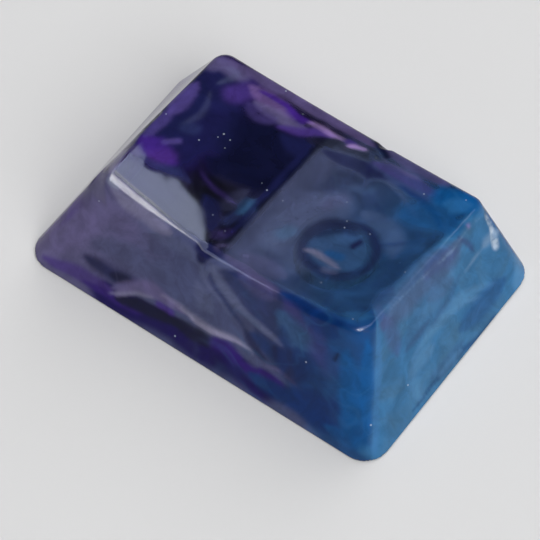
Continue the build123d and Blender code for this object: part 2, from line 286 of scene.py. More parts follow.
    ("violet_low", "violet", 0.35, 0.2, 0.47, ((-2.2, -4.1, 6.3), (-1.6, -3.4, 6.2), (-1.1, -2.7, 6.1))),
    ("dark_rib", "navy", 0.85, 0.13, (0.4, 0.13),
     ((-1.2, 5.6, 5.6), (-1.3, 4, 5.7), (-1.3, 1.9, 5.9), (-1.3, -0.1, 6), (-1.3, -1.9, 6.1),
      (-1.3, -3.4, 6.2))),
    ("back_seam", "navy", 0.7, 0.07, 0.2,
     ((2.18, 7.48, 5.48), (2.6, 6.79, 5.54), (3.04, 5.73, 5.62), (3.35, 4.97, 5.68)), 1, 0.8),
    ("back_soft", "slate", 0.8, 0.2, 0.47,
     ((2.2, 6.4, 5.6), (3.9, 6.4, 5.6), (5.8, 6.4, 5.7), (7.6, 6.5, 5.8))),
    ("chamber_lilac", "chamber", 0.55, 0.53, (1.07, 0.1),
     ((0, 5.5, 5.6), (-0.1, 2.8, 5.8), (-0.2, -0.2, 6), (-0.3, -3.5, 6.2)), 0, 0.5),
    ("chamber_glow", "glow", 0.55, 0.4, (1.2, 1.07),
     ((1.2, -1.5, 6.1), (1.2, -0.3, 6), (1.6, 0.8, 5.9), (2.1, 1.7, 5.9), (2.9, 2.7, 5.8)), 0, 0.5),
    ("chamber_glow_b", "glow", 0.45, 0.4, (1.2, 1.07),
     ((1.5, -2, 6.1), (2.4, -1.9, 6.1), (3.3, -2.4, 6.2)), 0, 0.5),
    ("chamber_right", "glow", 0.45, 0.33, 0.8,
     ((4.7, 3.3, 5.9), (5.8, 3.2, 5.9), (7.2, 2.6, 6.1), (8.1, 1.4, 6.3)), 1, 0.5),
    ("back_purple_b", "violet", 0.65, 0.27, (0.33, 0.4),
     ((2.8, 6.8, 5.5), (4.1, 7, 5.6), (5.4, 7.1, 5.6), (6.8, 7.1, 5.6), (7.8, 7, 5.7)), 1, 0.8),
    ("back_lavender", "lilac", 0.6, 0.07, 0.2,
     ((2.97, 7.26, 5.51), (4.27, 7.4, 5.53), (5.32, 7.46, 5.56), (6.67, 7.53, 5.61)), 1, 0.8),
    ("blue_arc", "deep", 0.75, 0.13, 0.33,
     ((5.2, 6.2, 5.7), (6.4, 6.2, 5.7), (7.6, 6, 5.8), (8.6, 5.6, 5.9), (9.3, 5, 6)), 1, 0.7),
    ("pale_arc_b", "mist", 0.5, 0.04, 0.23,
     ((3.09, 5.77, 5.62), (4.2, 5.97, 5.63), (5.44, 5.75, 5.7), (6.66, 5.33, 5.8),
      (7.53, 4.75, 5.91)), 1, 0.6),
    ("bright_corner", "bright", 0.9, 0.53, 0.8, ((8.1, 7.2, 5.7), (9.4, 7.6, 5.7)), 0, 0.8),
    ("bright_right", "bright", 0.65, 0.6, 0.93, ((7.1, 4.9, 5.9), (9.3, 5.6, 5.9)), 0, 0.7),
    ("dark_streak", "deep", 0.6, 0.1, 0.27,
     ((6.97, 1.62, 6.16), (7.91, 2.46, 6.17), (8.81, 3.36, 6.16), (9.5, 4.34, 6.1)), 1, 0.6),
    ("dark_streak_b", "deep", 0.5, 0.1, 0.27,
     ((7.74, 0.97, 6.31), (8.59, 1.93, 6.3), (9.33, 3.04, 6.24)), 1, 0.6),
    ("cyan_patch", "cyan", 0.4, 0.2, 0.53, ((1.3, -1.2, 6.1), (1.6, -0.6, 6)), 0, 0.6),
    ("lavender_c", "chamber", 0.4, 0.53, 1.07, ((1.3, 0.7, 5.9), (1.8, 1.9, 5.9)), 0, 0.6),
    ("lavender_d", "lilac", 0.3, 0.2, 0.53, ((2.5, 2.4, 5.8), (2.9, 3.3, 5.8)), 0, 0.6),
    ("front_pool", "deep", 0.35, 0.2, (1, 0.87),
     ((5.2, -3.2, 6.4), (6.4, -2.8, 6.5), (7.7, -2.3, 6.6), (8.5, -1.6, 6.6)), 1, 0.5),
    ("front_glow", "sky", 0.4, 0.13, (0.53, 0.4),
     ((8.3, -3.9, 6.9), (9.1, -3.7, 7), (9.9, -3.3, 7.1)), 1, 0.8),
    ("front_lilac", "lilac", 0.4, 0.33, (0.53, 0.67),
     ((0.4, -3.8, 6.2), (1.7, -3.7, 6.2), (3.4, -3.7, 6.3)), 1, 0.7),
    ("ring_fill", "ring", 0.85, 1.6, 0.6, ((4.9, -0.4, 6.2), (5, -0.1, 6.1)), 0, 0.75),
    # Painted shade: navy over the outline of the stem post, darkening the ring that the post shows through
    # the clear resin, heaviest on its right and top.
    ("ring_shade", "navy", 0.75, 0.2, 0.33,
     ((7, 1.3, 6.2), (7.3, 0.3, 6.3), (7.1, -0.9, 6.4), (6.2, -1.8, 6.4), (5.1, -2.2, 6.3), (3.9, -2, 6.2),
      (3, -1.4, 6.1), (2.7, -0.3, 6), (2.9, 0.8, 6), (3.7, 1.7, 5.9), (4.9, 2.2, 6), (6.1, 2, 6),
      (7, 1.3, 6.2)), 0, 0.6),
    ("ring_right", "navy", 0.55, 0.17, 0.33,
     ((4.9, 2.4, 5.9), (6, 2.2, 6), (7, 1.5, 6.2), (7.5, 0.4, 6.3), (7.2, -0.9, 6.4)), 1, 0.6),
    ("ring_top", "navy", 0.6, 0.2, 0.47,
     ((3.2, 0, 6), (3.6, 0.9, 6), (4.4, 1.6, 6), (5.3, 1.6, 6)), 1, 0.6),
    ("ring_flake", "milk", 0.65, 0.13, 0.23,
     ((3.2, -1.4, 6.1), (3.9, -1.2, 6.2), (4.8, -1.2, 6.2), (5.8, -1.3, 6.3)), 1, 0.6),
    ("ring_flake_b", "mist", 0.6, 0.13, 0.2, ((5.2, -1.9, 6.3), (5.7, -1.7, 6.3)), 0, 0.6),
    ("ring_blue", "bright", 0.6, 0.2, 0.27, ((4.8, -0.7, 6.2), (5.5, -0.4, 6.2)), 0, 0.6),
    ("ring_dark", "navy", 0.9, 0.13, 0.2, ((5.6, 0.7, 6.1), (5.8, 1.3, 6.1)), 0, 0.6),
    # Painted highlight: pale line along the top of the left end, where the front edge's highlight turns the
    # worn corner.
    ("left_edge_pale", "milk", 0.85, 0.16, 0.33,
     ((-9.9, -4.2, 7.1), (-10.1, -3.6, 7.1), (-10.2, -2.7, 7), (-10.2, -1.8, 6.9))),
    ("chip_haze", "frost", 0.6, 0.13, 0.47, ((11.5, 6.4, 4), (11.5, 7.1, 4), (11.4, 8.2, 3.6))),
    ("cham_blue", "slate", 0.6, 0.13, 0.27, ((-0.8, -2.2, 6.1), (-0.9, -1.4, 6), (-0.9, -0.7, 6)), 1, 0.6),
    # Painted highlight: pale spot at the worn front left corner of the top.
    ("corner_glow", "chip", 0.25, 0.17, 0.33, ((-9.9, -4.3, 7.2), (-9.4, -4.6, 7.1), (-8.7, -4.7, 6.9))),
    # Painted shade: navy line over the back wall of the stem chamber, seen through the top.
    ("cham_back_dark", "navy", 0.85, 0.27, 0.53,
     ((-0.2, 5.8, 5.6), (0.8, 5.9, 5.6), (1.9, 6, 5.6), (2.9, 6, 5.6), (4.1, 6.1, 5.6)), 1, 0.8),
    ("nick_dark", "ink", 1, 0.2, 0.17, ((2, 8.4, 5.3), (2.6, 8, 5.5), (3.1, 7.7, 5.5)), 0, 1),
    ("corner_sky", "sky", 0.35, 0.33, 0.6, ((8.4, 6.8, 5.8), (9.1, 7.1, 5.8), (9.7, 7.6, 5.8))),
    ("end_corner_shade", "slate", 0.55, 0.27, 0.47, ((9.6, -0.6, 6.7), (9.6, -1.6, 6.8), (9.7, -2.6, 6.9))),
    # Painted reflection: lilac carrying the window's mirror image in the dish on towards the left end, and
    # slate fading its far edge.
    ("patch_top", "lilac", 0.5, 0.13, 0.47, ((-10.1, -1.7, 6.9), (-9.4, -1.8, 6.8)), 0),
    ("patch_soft", "slate", 0.6, 0.13, 0.53,
     ((-9.1, -1.8, 6.8), (-8.3, -1.8, 6.6), (-7.5, -1.6, 6.5), (-6.7, -1.3, 6.4), (-5.6, -1.4, 6.3))),
    ("corner_bright", "bright", 0.8, 0.27, 0.27,
     ((10.3, -4.5, 6.8), (10.8, -5.2, 5.7), (11.3, -6, 4.5), (11.8, -6.7, 3.3), (12.3, -7.4, 2.3),
      (12.6, -8, 1.3))),
    ("foot_bright", "bright", 0.6, 0.27, 0.53,
     ((10.1, -8.5, 1), (11.2, -8.6, 1), (12.2, -8.4, 1), (12.6, -8.1, 1.2))),
    ("front_mid_deep", "deep", 0.45, 0.2, 0.53, ((5, -6.1, 4.9), (5.6, -6.8, 3.8), (6, -7.7, 2.4))),
    ("glint_slate", "slate", 0.6, 0.2, 0.4, ((-2.1, -2.5, 6.2), (-1.9, -1.8, 6.1)), 0),
    ("end_corner_lilac", "mauve", 0.6, 0.2, 0.33, ((9.8, -2.3, 6.9), (10.4, -3, 6.9), (10.8, -3.3, 6.3))),
    # Painted highlight: lilac band on the left end wall under the worn corner, where the edge highlight
    # hooks round.
    ("hook_wall", "lilac", 0.7, 0.5, 0.9,
     ((-10.5, -4.6, 6.2), (-10.6, -3.4, 6), (-10.7, -2.2, 5.8), (-10.8, -1.2, 5.7))),
)

# Pale specks, in millimetres: place and radius
SPECKS = (
    (-7.15, 1.53, 6.18, 0.09), (-6.21, 2.92, 5.98, 0.1), (-6.36, 2.49, 6.03, 0.07),
    (-5.62, 2.79, 5.95, 0.07), (-5.5, 2.08, 6, 0.06), (-1.43, 1.08, 5.9, 0.09), (-2.01, 1.33, 5.9, 0.06),
    (-9.98, 1.79, 6.46, 0.07), (-5.14, 8.18, 5.48, 0.08), (3.22, 3.3, 5.8, 0.07), (4.1, 2.07, 5.92, 0.08),
    (5.89, 2.06, 6.03, 0.08), (9.48, 0.77, 6.51, 0.08), (8.98, -4.08, 6.98, 0.09), (7.27, -6.78, 3.84, 0.1),
    (12.56, -7.31, 2.05, 0.1), (12.82, -3.68, 2.11, 0.1), (-9.76, -5.62, 5.73, 0.07),
    (-1.78, -8.64, 0.83, 0.1), (9.27, 7.77, 5.71, 0.07), (6.82, 6.64, 5.69, 0.08),
    (-5.98, -1.92, 6.37, 0.08), (-1.65, -3.06, 6.18, 0.07), (-3.16, 7.33, 5.52, 0.09),
    (2.67, 7.24, 5.51, 0.08),
)

# The strokes' unsteady hand: its seed, so that every run lays them alike, and the scale of its noise and
# its reach in millimetres
HAND_SEED = 2
WOBBLE = ((0.45, 0.20), (1.1, 0.07))

# Worn front edge of the top
SOFT_EDGE = ((-10.4, -1.6, 6.9), (-10.3, -4.4, 7.1), (-7.0, -4.9, 6.6), (-3.4, -4.85, 6.36))
WORN_REACH = 1.3
WORN_SHINE_REACH = 2.2

# Chips and pits: their line, reach and depth in millimetres, and whether they are pale (1) or dark (-1)
CHIPS = (
    (((11.9, 7.4, 3.3), (11.3, 8.0, 4.4), (11.0, 8.1, 5.0)), 0.6, 0.22, 1.0),
    (((-10.5, 0.2, 6.4), (-10.4, 1.6, 6.2)), 0.40, 0.22, -1.0),
    (((2.4, 8.35, 5.3), (2.7, 8.4, 5.2)), 0.45, 0.25, -1.0),
)

# Colours of the pour from the left end to the right end, by their place in millimetres
POUR_HALF = 14.0
POUR = (
    (-13.0, "violet"), (-8.5, "plum"), (-4.0, "ink"), (0.0, "navy"),
    (5.0, "blue"), (10.0, "blue"), (13.5, "sky"),
)

# Shine of the resin, and of the duller corner at the top's front right
POLISHED = 0.03
DULLED = 0.22
RESIN_IOR = 1.5
RESIN_SPECULAR = 0.12

# Panels that only show in the gloss: turn in degrees, low and high corner as shares of their height,
# brightness and colour
PANEL_HEIGHT = 0.5
SHINE_PANELS = (
    ("window", 26.0, (-0.30, 0.34), (0.45, 0.712), 6.8, (0.62, 0.70, 1.0)),
    ("tube", 12.0, (-0.30, -0.45), (0.02, 0.05), 33.0, (1.0, 0.99, 0.97)),
    ("halo", 12.0, (-0.33, -0.48), (0.12, 0.34), 7.5, (0.88, 0.94, 1.0)),
)

# Lamps that don't show in the gloss: place and side in metres, and brightness
SOFT_LAMPS = (
    ("ceiling", (-0.05, 0.0, 0.7), 0.5, 2.4),
    ("key", (0.46, -0.18, 0.46), 0.45, 4.6),
    ("back", (-0.05, 0.52, 0.42), 0.45, 3.6),
)
WHITE = (1.0, 1.0, 1.0)
ROOM_TOP = (0.10, 0.10, 0.11)


class Wiring:
    """Adds nodes to one tree, joins them and returns their output sockets."""

    def __init__(self, tree):
        self.tree = tree
        self.count = 0

    def add(self, kind, **settings):
        node = self.tree.nodes.new(kind)
        node.location = (220 * (self.count // 8), -190 * (self.count % 8))
        self.count += 1
        for name, value in settings.items():
            setattr(node, name, value)
        return node

    def feed(self, socket, value):
        if isinstance(value, bpy.types.NodeSocket):
            self.tree.links.new(value, socket)
        elif socket.type == "RGBA":
            socket.default_value = (*value, 1.0)
        else:
            socket.default_value = value

    def feed_all(self, node, values):
        for name, value in values.items():
            self.feed(node.inputs[name], value)

    def math(self, operation, *values):
        node = self.add("ShaderNodeMath", operation=operation)
        for socket, value in zip(node.inputs, values):
            self.feed(socket, value)
        return node.outputs[0]

    def product(self, first, *others):
        for other in others:
            first = self.math("MULTIPLY", first, other)
        return first

    def rest(self, amount):
        return self.math("SUBTRACT", 1.0, amount)

    def vector(self, operation, *values, scale=None):
        node = self.add("ShaderNodeVectorMath", operation=operation)
        for socket, value in zip(node.inputs, values):
            self.feed(socket, value)
        if scale is not None:
            self.feed(node.inputs["Scale"], scale)
        return node.outputs["Value" if operation in {"LENGTH", "DISTANCE"} else "Vector"]

    def parts(self, vector):
        node = self.add("ShaderNodeSeparateXYZ")
        self.feed(node.inputs[0], vector)
        return node.outputs

    def noise(self, place, scale, detail=2.0, roughness=0.5, distortion=0.0, output="Fac"):
        node = self.add("ShaderNodeTexNoise")
        self.feed_all(node, {
            "Vector": place, "Scale": scale, "Detail": detail, "Roughness": roughness,
            "Distortion": distortion,
        })
        return node.outputs[output]

    def step(self, value, low, high, to_low=0.0, to_high=1.0):
        node = self.add("ShaderNodeMapRange", interpolation_type="SMOOTHSTEP")
        self.feed_all(node, {
            "Value": value, "From Min": low, "From Max": high, "To Min": to_low, "To Max": to_high,
        })
        return node.outputs[0]

    def blend(self, amount, first, second):
        node = self.add("ShaderNodeMix", data_type="RGBA", blend_type="MIX", clamp_factor=True)
        self.feed(node.inputs[0], amount)
        self.feed(node.inputs[6], first)
        self.feed(node.inputs[7], second)
        return node.outputs[2]

    def attribute(self, name, output="Fac"):
        return self.add("ShaderNodeAttribute", attribute_name=name).outputs[output]

    def wander(self, place, scale, detail, distance):
        """The place, pushed about by noise."""
        push = self.vector("SUBTRACT", self.noise(place, scale, detail, output="Color"), (0.5, 0.5, 0.5))
        return self.vector("ADD", place, self.vector("SCALE", push, scale=distance))

    def egg(self, place, middle, radii, softness):
        """Mask of a soft egg-shaped space."""
        away = self.vector("DIVIDE", self.vector("SUBTRACT", place, middle), radii)
        return self.step(self.vector("LENGTH", away), 1.0 + softness, 1.0 - softness)

    def behind_wall(self, outward, half, lean, z):
        """How far a place lies behind a leaning outer wall."""
        return self.math("SUBTRACT", self.math("SUBTRACT", half, outward), self.math("MULTIPLY", z, lean))


class Paint:
    """Colour and clearness of the resin, built up layer by layer."""

    def __init__(self, wiring, colour):
        self.w = wiring
        self.colour = colour
        self.clear = 1.0

    def lay(self, mask, tint, strength=1.0, closed=1.0):
        amount = self.w.math("MULTIPLY", mask, strength)
        self.colour = self.w.blend(amount, self.colour, tint)
        if closed:
            gap = self.w.rest(self.w.math("MULTIPLY", amount, closed))
            self.clear = self.w.math("MULTIPLY", self.clear, gap)


def resin_material(look):
    """Marbled resin: violet end, dark middle and blue end, with veils, wisps and specks."""
    material = bpy.data.materials.new("marbled_resin")
    material.use_nodes = True
    w = Wiring(material.node_tree)
    shader = material.node_tree.nodes["Principled BSDF"]

    # Places in millimetres, also bent by the flow, and the front wall and the right end of the cap
    place = w.vector("SCALE", w.add("ShaderNodeTexCoord").outputs["Object"], scale=1.0 / MM)
    bent = w.wander(w.wander(place, 0.22, 2.0, look.drift), 0.8, 3.0, look.curl)
    x, y, z = w.parts(place)
    loose_x, _, loose_z = w.parts(w.wander(place, 0.6, 2.0, 1.2))
    front = w.behind_wall(w.math("MULTIPLY", y, -1.0), HALF_DEPTH, FRONT_LEAN, z)
    right = w.behind_wall(x, HALF_LENGTH, END_LEAN, z)
    skin = w.step(w.math("MINIMUM", front, right), 1.0, 0.4)
    turn = w.math("ADD", w.math("MULTIPLY", z, 0.2), 0.15)
    corner = w.math("SUBTRACT", w.math("SUBTRACT", front, right), turn)
    on_front = w.math("MULTIPLY", skin, w.step(corner, 0.1, -0.1))
    on_end = w.math("MULTIPLY", skin, w.step(corner, -0.1, 0.1))

    # Pour: violet at the left end, ink in the middle and blue at the right end
    ramp = w.add("ShaderNodeValToRGB")
    elements = ramp.color_ramp.elements
    for where, _ in POUR[1:-1]:
        elements.new((where + POUR_HALF) / (2 * POUR_HALF))
    for element, (where, tint) in zip(elements, POUR):
        element.position = (where + POUR_HALF) / (2 * POUR_HALF)
        element.color = (*getattr(look, tint), 1.0)
    along = w.math("ADD", w.parts(bent)[0], POUR_HALF)
    w.feed(ramp.inputs[0], w.math("DIVIDE", along, 2 * POUR_HALF))
    paint = Paint(w, ramp.outputs[0])

    # Marbling: broad pale clouds, lavender on the left and sky blue on the right
    pale = w.blend(w.step(x, -3.0, 4.0), look.lilac, look.sky)
    broad = w.noise(bent, 0.30, 3.0, 0.55, 1.0)
    paint.lay(w.step(broad, 0.50, 0.75), pale, 0.3, 0.6)

    # Front wall: lavender veil on the left and deep blue on the right
    blues = w.blend(w.step(loose_x, 4.0, 10.0), look.slate, look.blue)
    paint.lay(on_front, blues, 0.9, 0.8)
    slant = w.math("SUBTRACT", w.math("ADD", loose_x, w.math("MULTIPLY", loose_z, 1.94)), 10.3)
    veil = w.blend(w.step(loose_x, -11.0, -2.0), look.veil, look.haze)
    paint.lay(w.math("MULTIPLY", on_front, w.step(slant, 1.2, -1.2)), veil, 0.95, 0.95)

    # Right end: sky blue with paler drifts
    drifts = w.noise(w.vector("MULTIPLY", bent, (0.5, 0.5, 1.3)), 0.5, 3.0, 0.55, 0.6)
    paint.lay(on_end, w.blend(w.step(drifts, 0.40, 0.70), look.sky, look.drift_blue), 0.95, 0.9)

    # Back wall and left end: the same pour, drifting from violet to blue
    rear = w.behind_wall(y, HALF_DEPTH, BACK_LEAN, z)
    left = w.behind_wall(w.math("MULTIPLY", x, -1.0), HALF_LENGTH, END_LEAN, z)
    sides = w.math("MULTIPLY", w.step(w.math("MINIMUM", rear, left), 0.8, 0.3), w.step(z, 5.4, 4.6))
    dark = w.blend(w.step(loose_x, -6.0, 6.0), look.violet, look.blue)
    paint.lay(sides, w.blend(w.step(drifts, 0.40, 0.68), dark, pale), 0.9, 0.85)

    # Clear tint over the stem chamber
    chamber = w.egg(place, (4.0, 1.0, 5.5), (7.6, 7.0, 4.0), 0.15)
    window = w.product(chamber, w.rest(w.math("MAXIMUM", on_front, on_end)), w.step(x, -1.0, -0.5))
    tint = w.blend(w.step(loose_x, 1.0, 8.0), look.glass, look.glass_blue)
    paint.lay(window, tint, 0.8, 0.0)

    # Laid pigment with its painted highlights, reflections and shade, then cloudy brightness and fine drawn
    # lines through all of it
    bare = w.rest(w.attribute("cover"))
    below = w.vector("SCALE", paint.colour, scale=bare)
    paint.colour = w.vector("ADD", below, w.attribute("pigment", "Color"))
    paint.clear = w.math("ADD", w.math("MULTIPLY", paint.clear, bare), w.attribute("clear"))
    clouds = w.noise(bent, 0.7, 4.0, 0.6, 0.4)
    cloudy = w.step(clouds, 0.25, 0.75, 1.0 - look.cloudiness, 1.0 + look.cloudiness)
    paint.colour = w.vector("SCALE", paint.colour, scale=cloudy)
    drawn = w.vector("MULTIPLY", w.wander(place, 0.18, 1.0, 5.0), (0.5, 1.0, 1.0))
    fold = w.math("ABSOLUTE", w.math("SUBTRACT", w.noise(drawn, 0.5, 1.0, 0.4), 0.5))
    here = w.step(w.noise(place, 0.25, 1.0), 0.40, 0.65)
    lines = w.product(w.step(fold, 0.05, 0.0), here, w.math("MAXIMUM", on_front, w.step(x, 0.0, 3.0)))
    paint.lay(lines, pale, look.threads, 0.6)

    # The hollow's own skin: milky ceiling over the stem, blue walls, dark post and dark end pocket
    mottle = w.step(w.noise(bent, 0.5, 3.0, 0.6), 0.35, 0.65)
    ceiling = w.blend(mottle, look.ceiling, look.glass)
    hollow = w.blend(w.step(z, 3.0, 3.8), look.deep, ceiling)
    hollow = w.blend(w.step(x, -1.5, -1.0), look.ink, hollow)
    from_stem = w.vector("SUBTRACT", place, (STEM_X, 0.0, 0.0))
    from_stem = w.vector("LENGTH", w.vector("MULTIPLY", from_stem, (1.0, 1.0, 0.0)))
    stem = w.blend(w.step(from_stem, 2.45, 2.25), look.post, look.core)
    post = w.egg(place, (STEM_X, 0.0, 2.5), (2.9, 2.9, 6.0), 0.02)
    paint.lay(w.attribute("inside"), w.blend(post, hollow, stem))

    # Chips, pale or dark, and pale specks, which leave the clearness as it is
    chipped = w.attribute("chipped")
    grain = w.step(w.noise(place, 2.2, 3.0), 0.35, 0.65, 0.3, 1.0)
    paint.lay(w.math("MULTIPLY", w.step(chipped, 0.05, 0.8), grain), look.chip, 0.7, 0.0)
    paint.lay(w.step(chipped, -0.2, -0.5), look.ink, 0.9, 0.0)
    dots = 0.0
    for *middle, radius in SPECKS:
        away = w.vector("DISTANCE", place, middle)
        dots = w.math("MAXIMUM", dots, w.step(away, radius * 0.9, radius * 0.3))
    cells = w.add("ShaderNodeTexVoronoi")
    w.feed_all(cells, {"Vector": place, "Scale": 0.7})
    rare = w.step(w.parts(cells.outputs["Color"])[0], 0.84, 0.86)
    small = w.step(cells.outputs["Distance"], 0.06, 0.03)
    dots = w.math("MAXIMUM", dots, w.math("MULTIPLY", small, rare))
    paint.lay(dots, look.chip, 0.5, 0.0)

    dull = w.egg(place, (10.1, -4.7, 7.0), (1.2, 1.0, 1.0), 0.8)
    w.feed_all(shader, {
        "Base Color": paint.colour,
        "Transmission Weight": w.math("MULTIPLY", paint.clear, look.clarity),
        "Roughness": w.step(dull, 0.0, 1.0, POLISHED, DULLED),
        "IOR": RESIN_IOR,
        "Specular IOR Level": RESIN_SPECULAR,
    })
    return material


def as_array(items, name, width):
    """One property of all items of a mesh, as rows of numbers."""
    values = np.zeros(len(items) * width)
    items.foreach_get(name, values)
    return values.reshape(-1, width)


def keep_values(mesh, name, values):
    """Keeps one number for each point on the mesh."""
    mesh.attributes.new(name, "FLOAT", "POINT").data.foreach_set("value", values)


def eased(amount):
    """The amount held between 0 and 1, with a soft start and end."""
    amount = np.clip(amount, 0, 1)
    return amount * amount * (3 - 2 * amount)


def settle(piece):
    """Gives the piece the mesh that its modifiers make, and clears them."""
    graph = bpy.context.evaluated_depsgraph_get()
    shaped = piece.evaluated_get(graph)
    mesh = bpy.data.meshes.new_from_object(shaped, preserve_all_data_layers=True, depsgraph=graph)
    piece.modifiers.clear()
    old = piece.data
    piece.data = mesh
    bpy.data.meshes.remove(old)
    mesh.name = piece.name


def even_mesh(source, step):
    """The node's skin in even small faces that lie on it."""
    mesh = source.data.copy()
    mesh.name = "keycap_cast"
    welded = bmesh.new()
    welded.from_mesh(mesh)
    bmesh.ops.remove_doubles(welded, verts=welded.verts[:], dist=1e-7)
    welded.to_mesh(mesh)
    welded.free()
    piece = bpy.data.objects.new("keycap_cast", mesh)
    bpy.context.scene.collection.objects.link(piece)
    even = piece.modifiers.new("even", "REMESH")
    even.mode = "VOXEL"
    even.voxel_size = step
    snug = piece.modifiers.new("snug", "SHRINKWRAP")
    snug.wrap_method = "NEAREST_SURFACEPOINT"
    snug.target = source
    settle(piece)
    return piece


def inner_share(mesh):
    """1 on the hollow's walls, ceiling, rib and post and 0 on the outer skin."""
    skin_depth = 0.25 * MM
    dish_floor = 4.9 * MM
    shell = bmesh.new()
    shell.from_mesh(mesh)
    hull = bmesh.ops.convex_hull(shell, input=shell.verts[:])
    unused = [part for part in hull["geom_interior"] if isinstance(part, bmesh.types.BMVert)]
    bmesh.ops.delete(shell, geom=unused, context="VERTS")
    tree = BVHTree.FromBMesh(shell)
    shell.free()
    share = np.zeros(len(mesh.vertices))
    for vertex in mesh.vertices:
        depth = tree.find_nearest(vertex.co)[3]
        dished = vertex.normal.z > 0.5 and vertex.co.z > dish_floor
        share[vertex.index] = 1.0 if depth > skin_depth and not dished else 0.0
    return share


def relax(points, edges, weight, rounds):
    """Moves each point towards the middle of its neighbours, by its weight."""
    count = np.zeros(len(points))
    np.add.at(count, edges[:, 0], 1)
    np.add.at(count, edges[:, 1], 1)
    count = np.maximum(count, 1)[:, None]
    for _ in range(rounds):
        total = np.zeros_like(points)
        np.add.at(total, edges[:, 0], points[edges[:, 1]])
        np.add.at(total, edges[:, 1], points[edges[:, 0]])
        points += (total / count - points) * (0.5 * weight)[:, None]
    return points


def near_line(points, line, reach):
    """1 on a line of points and 0 beyond its reach."""
    best = np.full(len(points), 1e9)
    for start, end in zip(line, line[1:]):
        start, end = np.array(start), np.array(end)
        along = end - start
        share = np.clip((points - start) @ along / (along @ along), 0, 1)
        best = np.minimum(best, np.linalg.norm(points - start - share[:, None] * along, axis=1))
    return eased(1 - best / reach)


def smooth_course(course, steps=10):
    """Points along a smooth line through the points of a course."""
    if len(course) < 3:
        return np.linspace(course[0], course[-1], steps + 1)
    knots = np.array([course[0], *course, course[-1]], dtype=float)
    line = []
    for before, start, stop, after in zip(knots, knots[1:], knots[2:], knots[3:]):
        for share in np.arange(steps) / steps:
            bend = 2 * start + (stop - before) * share
            bend += (2 * before - 5 * start + 4 * stop - after) * share**2
            bend += (3 * start - before - 3 * stop + after) * share**3
            line.append(bend / 2)
    line.append(knots[-1])
    return np.array(line)


def stroke_mask(points, normals, stroke):
    """How strongly one stroke of pigment covers each point."""
    line = smooth_course(stroke.course)
    tangents = np.gradient(line, axis=0)
    left, right = np.broadcast_to(stroke.soft, 2)
    reach = stroke.width + max(left, right)
    near = np.all((points > line.min(0) - reach) & (points < line.max(0) + reach), axis=1).nonzero()[0]
    mask = np.zeros(len(points))
    if not len(near):
        return mask
    away = points[near][:, None, :] - line[None, :, :]
    distance = np.linalg.norm(away, axis=2)
    best = distance.argmin(axis=1)
    rows = np.arange(len(near))
    side = np.einsum("ij,ij->i", np.cross(normals[near], tangents[best]), away[rows, best])
    soft = np.where(side > 0, left, right)
    swell = np.ones(len(near))
    if stroke.thin:
        share = np.clip(best / (len(line) - 1), 0.02, 0.98)
        swell = np.sqrt(np.sin(np.pi * share))
    past = (distance[rows, best] - stroke.width * swell) / (soft * (0.25 + 0.75 * swell))
    mask[near] = stroke.strength * eased(1 - past)
    return mask


def lay_pigment_and_painted_light(mesh, points, normals, edges, inside, look):
    """Lays the strokes one over the other and keeps their colour, cover and clearness on the mesh."""
    noise.seed_set(HAND_SEED)
    unsteady = points.copy()
    for scale, reach in WOBBLE:
        unsteady += reach * np.array([noise.noise_vector(Vector(p) * scale) for p in points])
    colour = np.zeros((len(points), 4))
    cover = np.zeros((len(points), 1))
    clear = np.zeros((len(points), 1))
    for row in STROKES:
        stroke = Stroke(*row)
        mask = (stroke_mask(unsteady, normals, stroke) * (1 - inside))[:, None]
        colour *= 1 - mask
        colour[:, :3] += mask * np.array(getattr(look, stroke.pigment))
        cover += mask * (1 - cover)
        clear = clear * (1 - mask) + mask * (1 - stroke.closed)
    colour[:, 3] = 1.0
    everywhere = np.ones(len(points))
    colour, cover, clear = (relax(values, edges, everywhere, 1) for values in (colour, cover, clear))
    mesh.attributes.new("pigment", "FLOAT_COLOR", "POINT").data.foreach_set("color", colour.ravel())
    keep_values(mesh, "cover", cover.ravel())
    keep_values(mesh, "clear", clear.ravel())


def worn_facing(points):
    """Facing of a top whose edges are worn round, from the dish, the front wall and the left end."""
    x, y, z = points.T
    back = (y - TOP_FRONT) / TOP_DEPTH
    sag = FRONT_DISH - DISH_FALL * back
    bow = 1 - (x / TOP_HALF_LENGTH) ** 2
    flattened = 0.016 * np.clip((-x - 8) / 2, 0, 1.5)
    slope = (TOP_FALL - DISH_FALL * bow) / TOP_DEPTH - flattened
    dish = np.stack((-2 * sag * x / TOP_HALF_LENGTH**2, slope, np.ones(len(x))), axis=1)
    dish /= np.linalg.norm(dish, axis=1)[:, None]
    below = FRONT_HEIGHT - TOP_FALL * back - sag * bow - z
    from_front = (y + HALF_DEPTH - FRONT_LEAN * z) / math.hypot(1, FRONT_LEAN)
    from_left = (x + HALF_LENGTH - END_LEAN * z) / math.hypot(1, END_LEAN)

    # The round is widest at the left corner and runs out along the front edge
    front_width = 3.2 - 2.2 * np.clip((x + 6.5) / 4.0, 0, 1)
    left_width = 0.45
    over = eased((below - from_front) / front_width + 0.41 + 0.33 / front_width)[:, None]
    past = eased((below - from_left) / left_width + 0.5)[:, None]
    corner = (FRONT_FACING + LEFT_FACING) / 1.2
    facing = (dish * (1 - over) + FRONT_FACING * over) * (1 - past)
    facing += (LEFT_FACING * (1 - over) + corner * over) * past
    return facing / np.linalg.norm(facing, axis=1)[:, None]


